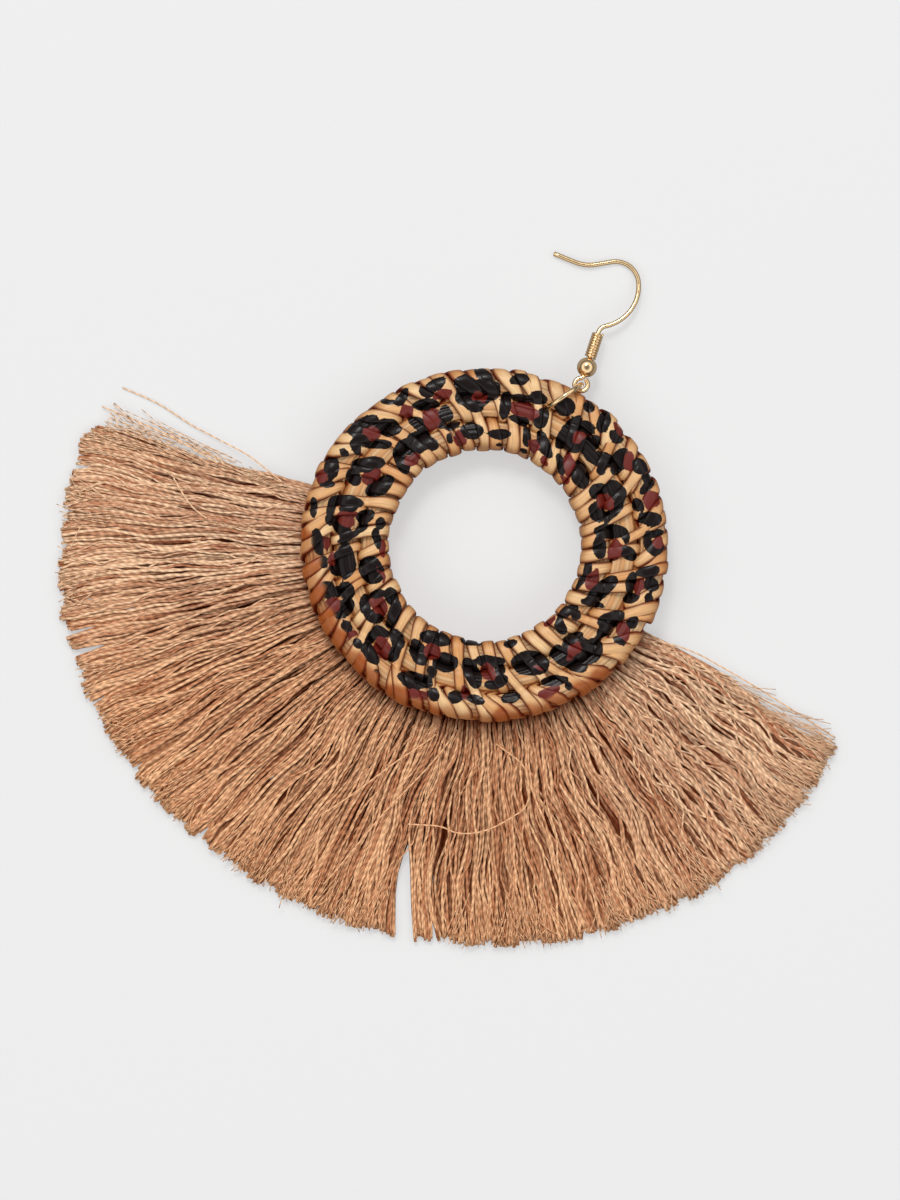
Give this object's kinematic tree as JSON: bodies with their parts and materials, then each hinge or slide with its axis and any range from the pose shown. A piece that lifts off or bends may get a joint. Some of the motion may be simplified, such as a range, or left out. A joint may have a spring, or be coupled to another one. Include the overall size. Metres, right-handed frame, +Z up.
{
  "type": "tassel earring",
  "caption": "Drop earring lying face up: a flat ring of bound cane with a spotted animal print, a half-circle fan of yarn fringe, a jump ring and a fish-hook ear wire.",
  "frame": {"origin": "on the surface that the earring lies on, under the middle of its box", "axes": "+Z up, out of the printed face; +Y from the fringe to the ear wire; +X to the right"},
  "size_m": [0.1106, 0.0982, 0.0083],
  "materials": {
    "cane": "split cane, satin, honey to red-brown",
    "printed_cane": "split cane with a glossy black and dark red spotted print on the front",
    "yarn": "silky twisted yarn, rose beige to camel",
    "gold_thread": "pale gold binding thread",
    "gilt_metal": "pale gold plating, polished"
  },
  "bodies": {
    "root": {"inner_hoop": "cane", "middle_hoop": "cane", "outer_hoop": "cane", "inner_binding": "printed_cane", "outer_binding": "printed_cane", "fringe": "yarn", "head_thread": "gold_thread", "jump_ring": "gilt_metal", "ear_hook": "gilt_metal", "hook_coil": "gilt_metal", "hook_ball": "gilt_metal"}
  },
  "joints": []
}
